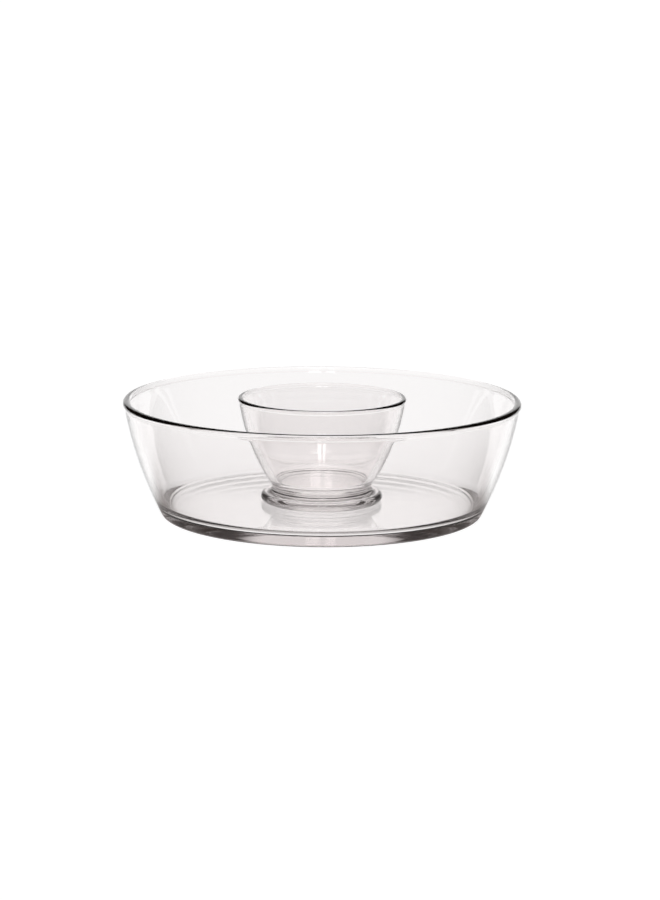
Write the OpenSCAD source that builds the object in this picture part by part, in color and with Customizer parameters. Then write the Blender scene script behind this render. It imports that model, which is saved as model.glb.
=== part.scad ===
// Chip and dip server: a wide pressed-glass chip bowl and a small footed dip
// bowl that stands free in the middle of its floor. Millimetres, +Z up, and
// the origin is the centre of the chip bowl's base, on the table.

/* [Chip bowl] */
// Outer diameter over the rim bead
chip_rim_d = 300; // [270:1:380]
// Height from the table to the top of the rim
chip_h = 88; // [70:1:120]
// Diameter at which the outer wall would meet the table
chip_base_d = 240.4; // [195:0.1:250]
// Radius of the curve that the wall follows in section
chip_wall_curve_r = 280; // [220:5:600]
// Diameter of the rounded bead along the rim
chip_bead_d = 5.6; // [4:0.1:7]
// How far the bead stands proud of the outer wall
chip_bead_proud = 0.3; // [0.1:0.05:1.2]
// Radius of the hollow that eases the outer wall into the bead
chip_bead_blend_r = 4; // [2:0.5:8]
// Thickness of the wall at its foot, measured level
chip_wall_foot_t = 6.5; // [4.5:0.1:9]
// Thickness of the glass in the middle of the floor
chip_floor_t = 8.6; // [6:0.1:14]
// How far the underside is pushed up in the middle
chip_push_up = 1; // [0.3:0.1:4]
// Width of the flat land that the bowl stands on
chip_land_w = 6; // [3:0.5:12]
// Radius of the outer corner between wall and base
chip_corner_r = 4.5; // [2:0.5:7]
// Radius of the inner corner between wall and floor
chip_well_r = 11; // [8:1:30]

/* [Dip bowl] */
// Outer diameter over the rim bead
dip_rim_d = 126.8; // [105:0.1:160]
// Height from the foot to the top of the rim
dip_h = 79.9; // [67:0.1:100]
// Radius of the curve that the wall follows in section
dip_wall_curve_r = 155; // [110:5:400]
// Diameter of the rounded bead along the rim
dip_bead_d = 3.8; // [3:0.1:5]
// How far the bead stands proud of the outer wall
dip_bead_proud = 0.3; // [0.1:0.05:0.9]
// Radius of the hollow that eases the outer wall into the bead
dip_bead_blend_r = 3; // [2:0.5:6]
// Thickness of the wall where it rises from the neck, measured level
dip_wall_foot_t = 6; // [4.5:0.1:8]
// Height of the inner floor above the underside of the foot
dip_floor_h = 16; // [13:0.1:22]
// Radius of the inner corner between wall and floor
dip_well_r = 7; // [4:0.5:14]

/* [Foot of the dip bowl] */
// Diameter of the foot disc over its rounded edge
foot_d = 92; // [86:0.1:110]
// Height of the foot disc
foot_h = 7; // [5:0.1:8]
// Diameter of the neck
neck_d = 75.5; // [64:0.5:79]
// Height above the underside of the foot at which the bowl has the neck's diameter
neck_h = 12; // [11:0.1:14]
// Radius of the hollow between the foot disc and the bowl
neck_hollow_r = 4; // [2:0.1:5]
// How far the underside is recessed
foot_recess = 1; // [0.5:0.1:1.5]
// Width of the flat ring that the foot stands on
foot_land_w = 6; // [3:0.5:10]
// Width of the slope from that ring up to the recess
foot_slope_w = 2; // [1:0.5:4]

/* [Fit] */
// Clearance between the foot and the floor that it stands on
seat_gap = 0.05; // [0.02:0.01:0.1]

/* [Hidden] */
glass_tint = [0.86, 0.89, 0.90, 0.45];
// Points on each kind of curve
bead_points = 22;
blend_points = 5;
wall_points = 22;
corner_points = 10;
push_up_points = 12;
dip_z = chip_push_up + chip_floor_t + seat_gap;

// Points along an arc about c, from angle a0 to angle a1
function arc(c, r, a0, a1, n) =
    [for (i = [0:n]) c + r * [cos(a0 + (a1 - a0) * i / n), sin(a0 + (a1 - a0) * i / n)]];

// Direction from c to p
function heading(c, p) = atan2(p[1] - c[1], p[0] - c[0]);

// Centre of the circle of radius r that passes through p0 and p1, on the inside of the bowl
function curve_centre(p0, p1, r) =
    let (chord = p1 - p0, half = norm(chord) / 2)
    (p0 + p1) / 2 + sqrt(r * r - half * half) * [-chord[1], chord[0]] / norm(chord);

// Centre of a corner of radius r that touches the level z from above and the wall curve from inside
function corner_centre(c, wall_r, z, r) =
    [c[0] + sqrt(pow(wall_r - r, 2) - pow(z + r - c[1], 2)), z + r];

// Centre of a hollow of radius r that touches the level z from above and the wall curve from outside
function hollow_centre(c, wall_r, z, r) =
    [c[0] + sqrt(pow(wall_r + r, 2) - pow(z + r - c[1], 2)), z + r];

// Centre of a hollow of radius r that touches a wall curve and a bead, both from outside
function blend_centre(c, wall_r, bead, bead_r, r) =
    let (
        a = wall_r + r,
        b = bead_r + r,
        d = norm(bead - c),
        along = (a * a - b * b + d * d) / (2 * d),
        u = (bead - c) / d
    )
    c + along * u + sqrt(a * a - along * along) * [u[1], -u[0]];

// Outer wall from heading start, through the hollow, round the bead, and flush into the inner wall
function wall_and_rim(c, wall_r, start, bead, bead_r, blend_r, inner_heading) =
    let (
        blend = blend_centre(c, wall_r, bead, bead_r, blend_r),
        wall_end = heading(c, blend),
        bead_start = heading(bead, blend)
    )
    concat(
        arc(c, wall_r, start, wall_end, wall_points),
        arc(blend, blend_r, 180 + wall_end, 180 + bead_start, blend_points),
        arc(bead, bead_r, bead_start, 180 + inner_heading, bead_points)
    );

function chip_section() =
    let (
        rim_r = chip_rim_d / 2,
        bead_r = chip_bead_d / 2,
        bead = [rim_r - bead_r, chip_h - bead_r],
        floor_z = chip_push_up + chip_floor_t,
        outer = curve_centre([chip_base_d / 2, 0], [rim_r - chip_bead_proud, chip_h], chip_wall_curve_r),
        inner_top = [rim_r - chip_bead_d, chip_h - bead_r],
        inner = curve_centre([chip_base_d / 2 - chip_wall_foot_t, 0], inner_top, chip_wall_curve_r),
        corner = corner_centre(outer, chip_wall_curve_r, 0, chip_corner_r),
        well = corner_centre(inner, chip_wall_curve_r, floor_z, chip_well_r),
        corner_end = heading(outer, corner),
        well_start = heading(inner, well),
        inner_start = heading(inner, inner_top),
        land_r = corner[0] - chip_land_w
    )
    concat(
        [for (i = [0:push_up_points]) let (f = i / push_up_points) [land_r * f, chip_push_up * (1 - f * f)]],
        arc(corner, chip_corner_r, -90, corner_end, corner_points),
        wall_and_rim(outer, chip_wall_curve_r, corner_end, bead, bead_r, chip_bead_blend_r, inner_start),
        arc(inner, chip_wall_curve_r, inner_start, well_start, wall_points),
        arc(well, chip_well_r, well_start, -90, corner_points),
        [[0, floor_z]]
    );

function dip_section() =
    let (
        rim_r = dip_rim_d / 2,
        bead_r = dip_bead_d / 2,
        bead = [rim_r - bead_r, dip_h - bead_r],
        edge_r = foot_h / 2,
        edge = [foot_d / 2 - edge_r, edge_r],
        neck = [neck_d / 2, neck_h],
        outer = curve_centre(neck, [rim_r - dip_bead_proud, dip_h], dip_wall_curve_r),
        inner_top = [rim_r - dip_bead_d, dip_h - bead_r],
        inner = curve_centre(neck - [dip_wall_foot_t, 0], inner_top, dip_wall_curve_r),
        hollow = hollow_centre(outer, dip_wall_curve_r, foot_h, neck_hollow_r),
        well = corner_centre(inner, dip_wall_curve_r, dip_floor_h, dip_well_r),
        wall_start = heading(outer, hollow),
        inner_start = heading(inner, inner_top),
        well_start = heading(inner, well),
        land_r = edge[0] - foot_land_w
    )
    concat(
        [[0, foot_recess], [land_r - foot_slope_w, foot_recess], [land_r, 0]],
        arc(edge, edge_r, -90, 90, corner_points),
        arc(hollow, neck_hollow_r, 270, 180 + wall_start, corner_points),
        wall_and_rim(outer, dip_wall_curve_r, wall_start, bead, bead_r, dip_bead_blend_r, inner_start),
        arc(inner, dip_wall_curve_r, inner_start, well_start, wall_points),
        arc(well, dip_well_r, well_start, -90, corner_points),
        [[0, dip_floor_h]]
    );

module turned(section) {
    rotate_extrude($fn = 128) polygon(section);
}

module chip_bowl() {
    color(glass_tint) turned(chip_section());
}

module dip_bowl() {
    color(glass_tint) translate([0, 0, dip_z]) turned(dip_section());
}

chip_bowl();
dip_bowl();
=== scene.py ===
# %% [markdown]
# # A chip and dip server in clear pressed glass
#
# The object is two bowls of solid glass. A wide bowl holds the chips, and a small footed
# bowl for the dip stands loose in the middle of its floor. Glass has no colour of its own to
# paint: what we see is the room, bent through a thick body with two faces. So the lesson has
# three parts: two exact bodies of revolution, one glass, and a studio that is worth bending.
#
# The frame comes first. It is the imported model, in metres, and every piece below takes its
# place and its size from it.

import math

import bpy
import numpy as np
from mathutils import Matrix, Vector


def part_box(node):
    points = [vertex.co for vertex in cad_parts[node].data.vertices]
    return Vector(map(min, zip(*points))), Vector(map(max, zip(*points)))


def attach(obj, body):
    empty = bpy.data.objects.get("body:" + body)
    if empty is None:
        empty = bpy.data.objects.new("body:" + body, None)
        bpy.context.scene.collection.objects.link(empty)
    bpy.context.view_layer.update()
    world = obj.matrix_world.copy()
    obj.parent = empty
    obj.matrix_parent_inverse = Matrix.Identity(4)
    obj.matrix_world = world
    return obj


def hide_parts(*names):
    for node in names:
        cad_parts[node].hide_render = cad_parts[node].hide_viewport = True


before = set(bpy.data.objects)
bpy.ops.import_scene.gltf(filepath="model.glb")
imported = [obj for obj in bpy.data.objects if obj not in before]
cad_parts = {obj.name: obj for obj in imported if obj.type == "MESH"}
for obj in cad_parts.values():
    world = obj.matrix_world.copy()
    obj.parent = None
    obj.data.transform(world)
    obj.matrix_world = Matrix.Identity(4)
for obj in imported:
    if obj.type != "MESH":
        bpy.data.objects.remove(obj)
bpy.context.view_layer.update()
chip_low, chip_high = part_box("chip_bowl")
dip_low, dip_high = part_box("dip_bowl")
MM = 0.001
rim_r = min(chip_high[0], -chip_low[0])
bowl_h = chip_high[2] - chip_low[2]
print("chip bowl: rim radius", round(rim_r / MM, 1), "mm, height", round(bowl_h / MM, 1), "mm")
print("dip bowl: rim radius", round(dip_high[0] / MM, 1), "mm, stands at", round(dip_low[2] / MM, 2), "mm")


# %% [markdown]
# ## The camera
#
# The server is seen from a standing person's side of a table, a little above the rim, with a
# long lens from well back, so that the two rims are thin ellipses and the walls stay almost
# upright. The camera aims just beside the axis at a bit over half the height, and is rolled by
# less than half a degree. It is set with a matrix made from three directions: where it looks,
# its right, and its up.

# %% Camera
camera_far = 16 * rim_r
camera_elevation = math.radians(12.16)
camera_roll = math.radians(0.407)
aim = Vector((0.0413 * rim_r, 0.0, 0.552 * bowl_h))

place = Vector((0.0, -camera_far * math.cos(camera_elevation), camera_far * math.sin(camera_elevation)))
ahead = (aim - place).normalized()
level_right = ahead.cross(Vector((0, 0, 1))).normalized()
level_up = level_right.cross(ahead)
right = level_right * math.cos(camera_roll) + level_up * math.sin(camera_roll)
up = right.cross(ahead)
turn = Matrix((right, up, -ahead)).transposed()

camera_data = bpy.data.cameras.new("camera")
camera_data.lens = 126.53
camera_data.sensor_width = 36.0
camera_data.clip_start = 0.05
camera = bpy.data.objects.new("camera", camera_data)
camera.matrix_world = Matrix.LocRotScale(place, turn.to_quaternion(), None)
bpy.context.scene.collection.objects.link(camera)
bpy.context.scene.camera = camera
print("camera", round(camera_far, 2), "m away, looking down",
      round(math.degrees(camera_elevation), 1), "degrees")


# %% [markdown]
# ## Curves of a pressed section
#
# A pressing die is turned on a lathe, so each bowl is one section carried round an axis, and
# the section is a chain of arcs: a long curve up the wall, a small bead at the rim, tight
# corners at the foot. Drawing it by hand as a spline would leave small bulges, and glass shows
# every one of them as a crooked reflection. So the arcs are worked out to touch each other
# exactly: where two arcs meet, the joint lies on the line through both centres.

# %% Arcs that touch
def heading(centre, point):
    """Angle, in degrees, of the direction from centre to point."""
    return math.degrees(math.atan2(point[1] - centre[1], point[0] - centre[0]))


def arc(centre, radius, start, end, count):
    """Points of a circle, centre + radius * (cos a, sin a), with a going evenly from start to end."""
    angle = np.radians(np.linspace(start, end, count))
    return np.column_stack([centre[0] + radius * np.cos(angle), centre[1] + radius * np.sin(angle)])


def wall_centre(foot, top, radius):
    """Centre of the circle through foot and top, on the inner side: from the middle of the chord,
    at right angles to it, by the square root of radius squared less half the chord squared."""
    foot, top = np.array(foot), np.array(top)
    chord = top - foot
    length = np.hypot(*chord)
    across = np.array([-chord[1], chord[0]]) / length
    return (foot + top) / 2 + across * math.sqrt(radius**2 - length**2 / 4)


def rest_centre(wall, wall_r, level, radius, side=-1):
    """Centre of a small circle that rests on a level line and touches the wall curve: from inside
    with side -1 (the distance between the centres is the difference of the radii), and from
    outside with side 1 (their sum)."""
    rise = level + radius - wall[1]
    return np.array([wall[0] + math.sqrt((wall_r + side * radius) ** 2 - rise**2), level + radius])


def ease_centre(wall, wall_r, bead, bead_r, radius):
    """Centre of a hollow that touches both the wall curve and the bead from outside: the point
    whose distances to the two centres are the two sums of radii, on the outer side."""
    to_wall, to_bead = wall_r + radius, bead_r + radius
    gap = np.hypot(*(bead - wall))
    along = (to_wall**2 - to_bead**2 + gap**2) / (2 * gap)
    ahead_of = (bead - wall) / gap
    out = np.array([ahead_of[1], -ahead_of[0]])
    return wall + along * ahead_of + math.sqrt(to_wall**2 - along**2) * out


# %% [markdown]
# ## Walls and rims
#
# Both bowls have the same upper part. The outer wall rises in one long curve, a small hollow
# eases it into a bead that stands a little proud, and the bead runs over the top and flush into
# the inner wall. The wall gets thinner on its way up, because the plunger that shapes the inside
# has to lift out of the hot glass. The bead is there for strength, and it is what draws the thin
# dark line along the rim.

# %% One wall with its rim
def wall_with_rim(outer, wall_r, start, bead, bead_r, ease_r, inner, inner_top):
    """Section from the foot of the outer wall over the rim to the top of the inner wall:
    three arcs that touch, the last one ending where the inner wall's circle begins."""
    ease = ease_centre(outer, wall_r, bead, bead_r, ease_r)
    leave, land = heading(outer, ease), heading(bead, ease)
    return np.vstack([
        arc(outer, wall_r, start, leave, 56)[1:],
        arc(ease, ease_r, 180 + leave, 180 + land, 9)[1:],
        arc(bead, bead_r, land, 180 + heading(inner, inner_top), 30)[1:],
    ])


def inside(inner, wall_r, inner_top, level, well_r):
    """Section down the inner wall, through the corner with the floor, and in to the axis."""
    well = rest_centre(inner, wall_r, level, well_r)
    turn_at = heading(inner, well)
    floor_r = np.linspace(well[0], 0, 8)[1:]
    return np.vstack([
        arc(inner, wall_r, heading(inner, inner_top), turn_at, 56)[1:],
        arc(well, well_r, turn_at, -90, 22)[1:],
        np.column_stack([floor_r, np.full_like(floor_r, level)]),
    ])


# %% [markdown]
# ## The chip bowl's section
#
# The wide bowl stands on a flat ring close to its wall. Inside the ring the underside is pushed
# up by a millimetre in a very shallow dome, so that the bowl can't rock and the middle of the
# glass never scrapes on the table. The floor is thicker than the wall, and the corner between
# them is generous, because glass flows badly into a sharp one. That corner is where most of the
# dark lines of the base come from.

# %% Chip bowl section
chip_wall_r = 280 * MM
chip_base_r = 120.2 * MM
chip_foot_wall = 6.5 * MM
chip_bead_r = 2.8 * MM
chip_bead_proud = 0.3 * MM
chip_corner_r = 4.5 * MM
chip_well_r = 11 * MM
chip_ease_r = 4 * MM
chip_land = 6 * MM
push_up = 1 * MM
chip_floor = 9.6 * MM


def chip_section():
    """Radius and height of the chip bowl's section, from the axis below to the axis above."""
    bead = np.array([rim_r - chip_bead_r, bowl_h - chip_bead_r])
    inner_top = (rim_r - 2 * chip_bead_r, bowl_h - chip_bead_r)
    outer = wall_centre((chip_base_r, 0), (rim_r - chip_bead_proud, bowl_h), chip_wall_r)
    inner = wall_centre((chip_base_r - chip_foot_wall, 0), inner_top, chip_wall_r)
    corner = rest_centre(outer, chip_wall_r, 0, chip_corner_r)
    leave = heading(outer, corner)
    dome_r = np.linspace(0, corner[0] - chip_land, 26)
    dome = np.column_stack([dome_r, push_up * (1 - (dome_r / dome_r[-1]) ** 2)])
    return np.vstack([
        dome,
        arc(corner, chip_corner_r, -90, leave, 14),
        wall_with_rim(outer, chip_wall_r, leave, bead, chip_bead_r, chip_ease_r, inner, inner_top),
        inside(inner, chip_wall_r, inner_top, chip_floor, chip_well_r),
    ])


chip_line = chip_section()
print("chip bowl section:", len(chip_line), "points, top at", round(chip_line[:, 1].max() / MM, 2), "mm")


# %% [markdown]
# ## The dip bowl's section
#
# The small bowl stands on a disc with a rounded edge, about three quarters as wide as the rim.
# A hollow makes the neck above the disc, and from there the wall swings out in one curve that is
# much rounder than the big bowl's. The glass between the foot and the well is a solid plug 16 mm
# high, so the well seems to float above the foot, and the plug acts as a lens. Underneath, the
# foot is slightly recessed and stands on a flat ring.

# %% Dip bowl section
dip_wall_r = 155 * MM
dip_bead_r = 1.9 * MM
dip_bead_proud = 0.3 * MM
dip_foot_wall = 6 * MM
foot_r = 46 * MM
foot_h = 7 * MM
neck_r = 37.75 * MM
neck_h = 12 * MM
neck_hollow = 4 * MM
dip_floor = 16 * MM
dip_well_r = 7 * MM
dip_ease_r = 3 * MM
foot_ring = 6 * MM
foot_slope = 2 * MM
foot_recess = 1 * MM


def dip_section():
    """Radius and height of the dip bowl's section, from the axis below to the axis above,
    raised to where the foot stands."""
    dip_rim_r = min(dip_high[0], -dip_low[0])
    dip_h = dip_high[2] - dip_low[2]
    bead = np.array([dip_rim_r - dip_bead_r, dip_h - dip_bead_r])
    inner_top = (dip_rim_r - 2 * dip_bead_r, dip_h - dip_bead_r)
    outer = wall_centre((neck_r, neck_h), (dip_rim_r - dip_bead_proud, dip_h), dip_wall_r)
    inner = wall_centre((neck_r - dip_foot_wall, neck_h), inner_top, dip_wall_r)
    hollow = rest_centre(outer, dip_wall_r, foot_h, neck_hollow, side=1)
    leave = heading(outer, hollow)
    edge = (foot_r - foot_h / 2, foot_h / 2)
    ring_r = edge[0] - foot_ring
    recess = np.array([[0, 1], [0.5, 1], [0.9, 1], [1, 1]]) * [ring_r - foot_slope, foot_recess]
    section = np.vstack([
        recess, [[ring_r, 0]],
        arc(edge, foot_h / 2, -90, 90, 26),
        arc(hollow, neck_hollow, 270, 180 + leave, 16),
        wall_with_rim(outer, dip_wall_r, leave, bead, dip_bead_r, dip_ease_r, inner, inner_top),
        inside(inner, dip_wall_r, inner_top, dip_floor, dip_well_r),
    ])
    return section + [0, dip_low[2]]


dip_line = dip_section()
print("dip bowl section:", len(dip_line), "points, top at", round(dip_line[:, 1].max() / MM, 2), "mm")


# %% [markdown]
# ## Carrying a section round the axis
#
# Blender's Spin tool or its Screw modifier would turn a section too, but they leave a seam and a
# pinched pole to clean up. Here the surface is written as a function of two parameters, the
# place along the section and the angle round the axis, and worked out as one grid. The grid
# closes on itself because the last column of faces uses the first column's points again, and
# each pole is one shared point with a fan of triangles. The section runs from the axis below,
# outwards and up, and back in to the axis above, so every face points out of the glass.

# %% Turned surface
def turned(name, section, slices):
    """Point (i, j) is (r_i cos a_j, r_i sin a_j, z_i), where a_j goes once round in equal steps."""
    angle = np.linspace(0, 2 * np.pi, slices, endpoint=False)
    ring = section[1:-1]
    rows = len(ring)
    grid = np.empty((rows, slices, 3))
    grid[..., 0] = ring[:, :1] * np.cos(angle)
    grid[..., 1] = ring[:, :1] * np.sin(angle)
    grid[..., 2] = ring[:, 1:]
    poles = [[0, 0, section[0, 1]], [0, 0, section[-1, 1]]]
    points = np.vstack([grid.reshape(-1, 3), poles])

    here = np.arange(slices)
    after = np.roll(here, -1)
    row = np.arange(rows - 1)[:, None] * slices
    quads = np.stack([row + here, row + after, row + slices + after, row + slices + here], -1)
    under = np.stack([np.full(slices, len(points) - 2), after, here], -1)
    last = (rows - 1) * slices
    over = np.stack([np.full(slices, len(points) - 1), last + here, last + after], -1)

    mesh = bpy.data.meshes.new(name)
    mesh.from_pydata(points.tolist(), [], quads.reshape(-1, 4).tolist() + under.tolist() + over.tolist())
    mesh.polygons.foreach_set("use_smooth", np.ones(len(mesh.polygons), dtype=bool))
    mesh.update()
    piece = bpy.data.objects.new(name, mesh)
    bpy.context.scene.collection.objects.link(piece)
    triangles = 2 * quads.shape[0] * quads.shape[1] + 2 * slices
    print(name, "has", triangles, "triangles")
    return piece


chip_bowl = turned("chip_bowl_glass", chip_line, 288)
dip_bowl = turned("dip_bowl_glass", dip_line, 240)

# %% [markdown]
# ## Shader arithmetic
#
# A shader's sums are easier to read as Python than as a web of boxes. This small class wraps
# one output socket. Its operators add a Math node each, and make() adds any other node: its
# kind, its settings, and then the values or links of its sockets.

# %% One class for sockets
class Field:
    """A value that changes over a surface or over the sky: one output socket of a node tree."""

    def __init__(self, tree, socket=None):
        self.tree, self.socket = tree, socket

    def make(self, kind, settings=None, inputs=None, out=0):
        """Adds a node: settings are set first, then each input gets its value or its link."""
        node = self.tree.nodes.new(kind)
        for key, value in (settings or {}).items():
            setattr(node, key, value)
        for key, value in (inputs or {}).items():
            if isinstance(value, Field):
                self.tree.links.new(value.socket, node.inputs[key])
            else:
                node.inputs[key].default_value = value
        return Field(self.tree, node.outputs[out])

    def math(self, operation, first, second=0.0):
        return self.make("ShaderNodeMath", {"operation": operation}, {0: first, 1: second})

    def __add__(self, other):
        return self.math("ADD", self, other)

    def __sub__(self, other):
        return self.math("SUBTRACT", self, other)

    def __rsub__(self, other):
        return self.math("SUBTRACT", other, self)

    def __mul__(self, other):
        return self.math("MULTIPLY", self, other)

    __radd__, __rmul__ = __add__, __mul__

    def mix(self, factor, first, second):
        """The first colour where factor is 0 and the second where it is 1."""
        return self.make("ShaderNodeMix", {"data_type": "RGBA"}, {0: factor, 6: first, 7: second}, out=2)

    def smooth(self, low, high):
        """0 below low, 1 above high, and an even S between them."""
        return self.make("ShaderNodeMapRange", {"interpolation_type": "SMOOTHSTEP"},
                         {"Value": self, "From Min": low, "From Max": high})

    def between(self, low, high, soft):
        """1 from low to high and 0 outside, with edges that fade over the width soft."""
        rise = self.smooth(low - soft / 2, low + soft / 2)
        fall = self.smooth(high - soft / 2, high + soft / 2)
        return rise * (1 - fall)


# %% [markdown]
# ## Clear soda-lime glass
#
# Pressed glass is clear, but not perfect. Three things tell it from a computer's crystal. The
# metal of the melt leaves a faint warm grey, which only shows where light runs a long way
# through the glass: that is a Volume Absorption, so the thick base darkens and the wall hardly
# does. The skin has slow waves from the chilled mould, a fraction of a hair deep, which make
# highlights wander: that is a Bump made of two sizes of noise. And years of use leave fine
# scuffs, only where the glass touches something: that is a little roughness on the ring that
# each bowl stands on.

# %% Glass finish
def glass(name, scuffed_below, wave_depth):
    """Clear glass: smooth and waved all over, with scuffs on the faces lower than scuffed_below."""
    material = bpy.data.materials.new(name)
    material.use_nodes = True
    tree = material.node_tree
    skin = tree.nodes["Principled BSDF"]
    skin.inputs["Base Color"].default_value = (0.985, 0.972, 0.971, 1)
    skin.inputs["Transmission Weight"].default_value = 1.0
    skin.inputs["IOR"].default_value = 1.52

    field = Field(tree)
    place = field.make("ShaderNodeTexCoord", out=3)
    height = place.make("ShaderNodeSeparateXYZ", inputs={0: place}, out=2)
    slow = field.make("ShaderNodeTexNoise", None, {"Vector": place, "Scale": 38.0, "Detail": 1.0})
    fine = field.make("ShaderNodeTexNoise", None, {"Vector": place, "Scale": 160.0, "Detail": 2.0})
    waves = slow * 0.8 + fine * 0.2
    bump = field.make("ShaderNodeBump", None, {"Height": waves, "Strength": 1.0, "Distance": wave_depth})
    tree.links.new(bump.socket, skin.inputs["Normal"])

    scratch = field.make("ShaderNodeTexNoise", None, {"Vector": place, "Scale": 420.0, "Detail": 4.0})
    worn = (1 - height.smooth(scuffed_below - 0.2 * MM, scuffed_below)) * scratch.smooth(0.48, 0.62)
    scuffed_roughness = 0.16
    rough = worn * scuffed_roughness
    tree.links.new(rough.socket, skin.inputs["Roughness"])

    body = tree.nodes.new("ShaderNodeVolumeAbsorption")
    body.inputs["Color"].default_value = (0.45, 0.35, 0.35, 1)
    body.inputs["Density"].default_value = 2.5
    tree.links.new(body.outputs[0], tree.nodes["Material Output"].inputs["Volume"])
    return material


wear_height, wave_depth = 0.3 * MM, 0.02 * MM
chip_bowl.data.materials.append(glass("chip_bowl_glass", chip_low[2] + wear_height, wave_depth))
dip_bowl.data.materials.append(glass("dip_bowl_glass", dip_low[2] + wear_height, wave_depth))

# %% [markdown]
# ## Which body each piece rides on
#
# The chip bowl is the base. The dip bowl is only set down in it, so it is its own body, and its
# joint lifts it straight out. Each new piece stands for the plain solid of the same place.

# %% Pieces and bodies
for piece, node in ((chip_bowl, "chip_bowl"), (dip_bowl, "dip_bowl")):
    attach(piece, node)
    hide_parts(node)

# %% [markdown]
# ## The light table
#
# Clear glass on white would vanish if the light came from everywhere. So it stands on a glowing
# white table, with one narrow soft screen behind it, and the rest of the room is dark. The wall
# then reads as a light grey, the rims and the ends of the base pick up the dark of the room as
# crisp lines, and the middle of the base glows with the screen behind it.
#
# The table has one trick. Around the front half of the bowl a warm shade is painted on it, which
# is darkest at the edge of the base and fades outwards. Only light that has met the glass can see
# it, through a Light Path node, so the table itself stays white and the glass above it has
# something darker to bend. The lower corners of the wall get their brown from it.

# %% Floor
bpy.ops.mesh.primitive_plane_add(size=60, location=(0, 0, -0.1 * MM))
floor = bpy.context.object
floor.name = "floor"
table = bpy.data.materials.new("light_table")
table.use_nodes = True
table_skin = table.node_tree.nodes["Principled BSDF"]
table_skin.inputs["Base Color"].default_value = (0.25, 0.25, 0.25, 1)
table_skin.inputs["Roughness"].default_value = 0.9
table_skin.inputs["Specular IOR Level"].default_value = 0.0
shine = Field(table.node_tree)
spot = shine.make("ShaderNodeTexCoord", out=3)
away = spot.make("ShaderNodeVectorMath", {"operation": "LENGTH"}, {0: spot}, out=1)
behind = shine.make("ShaderNodeSeparateXYZ", inputs={0: spot}, out=1)
shade_edge, shade_end, shade_depth = 122 * MM, 420 * MM, 0.8
shade = away.smooth(108 * MM, shade_edge) * (1 - away.smooth(shade_edge, shade_end))
shade = shade * (1 - behind.smooth(-20 * MM, 50 * MM))
seen = shine.make("ShaderNodeLightPath")
hidden = shade * (1 - seen) * shade_depth
# Painted shade: a warm shadow ring on the table, darkest at the base's edge, seen only through the glass.
painted_shade_colour = shine.mix(hidden, (1, 1, 1, 1), (0.10, 0.07, 0.06, 1))
table.node_tree.links.new(painted_shade_colour.socket, table_skin.inputs["Emission Color"])
table_skin.inputs["Emission Strength"].default_value = 0.97
floor.data.materials.append(table)

# %% [markdown]
# ## The room
#
# The rest of the studio is painted on the world as a function of two angles, the azimuth from
# the screen's middle and the elevation, both in degrees. It has the screen behind the server, a
# softbox overhead, two bright window panes high behind the camera, which the dip bowl's front
# shows as an upright highlight, and a faint warm grey everywhere else. What the camera sees
# directly past the table stays white.

# %% Studio
world = bpy.data.worlds.new("studio")
bpy.context.scene.world = world
world.use_nodes = True
sky = Field(world.node_tree)
direction = sky.make("ShaderNodeTexCoord")
axes = [sky.make("ShaderNodeSeparateXYZ", inputs={0: direction}, out=k) for k in range(3)]
azimuth = sky.math("ARCTAN2", axes[0], axes[1]) * (180 / math.pi)
elevation = sky.math("ARCSINE", axes[2]) * (180 / math.pi)

screen = azimuth.between(-20, 20, 12) * elevation.between(-60, 38, 12)
overhead = elevation.smooth(62, 75) * 1.6
panes = (azimuth.between(-177, -171, 2) + azimuth.between(170, 179, 2)) * elevation.between(36, 50, 3)
pane_strength, room_grey, room_warmth = 4.0, 0.015, (0.012, 0.003, 0.0)
studio = screen + overhead + panes * pane_strength + room_grey
seen = sky.make("ShaderNodeLightPath")
studio = studio + seen * (1 - studio)
background = world.node_tree.nodes["Background"]
warm = sky.make("ShaderNodeCombineColor", inputs={k: studio + room_warmth[k] for k in range(3)})
world.node_tree.links.new(warm.socket, background.inputs["Color"])

# %% [markdown]
# ## How far light is followed
#
# Light crosses four walls and bounces along inside the thick base before it leaves, so a path
# needs many turns before it may be dropped. The plain Standard view keeps white as white.

# %% Light paths
scene = bpy.context.scene
scene.cycles.max_bounces = 24
scene.cycles.transmission_bounces = 24
scene.cycles.glossy_bounces = 8
scene.view_settings.view_transform = "Standard"
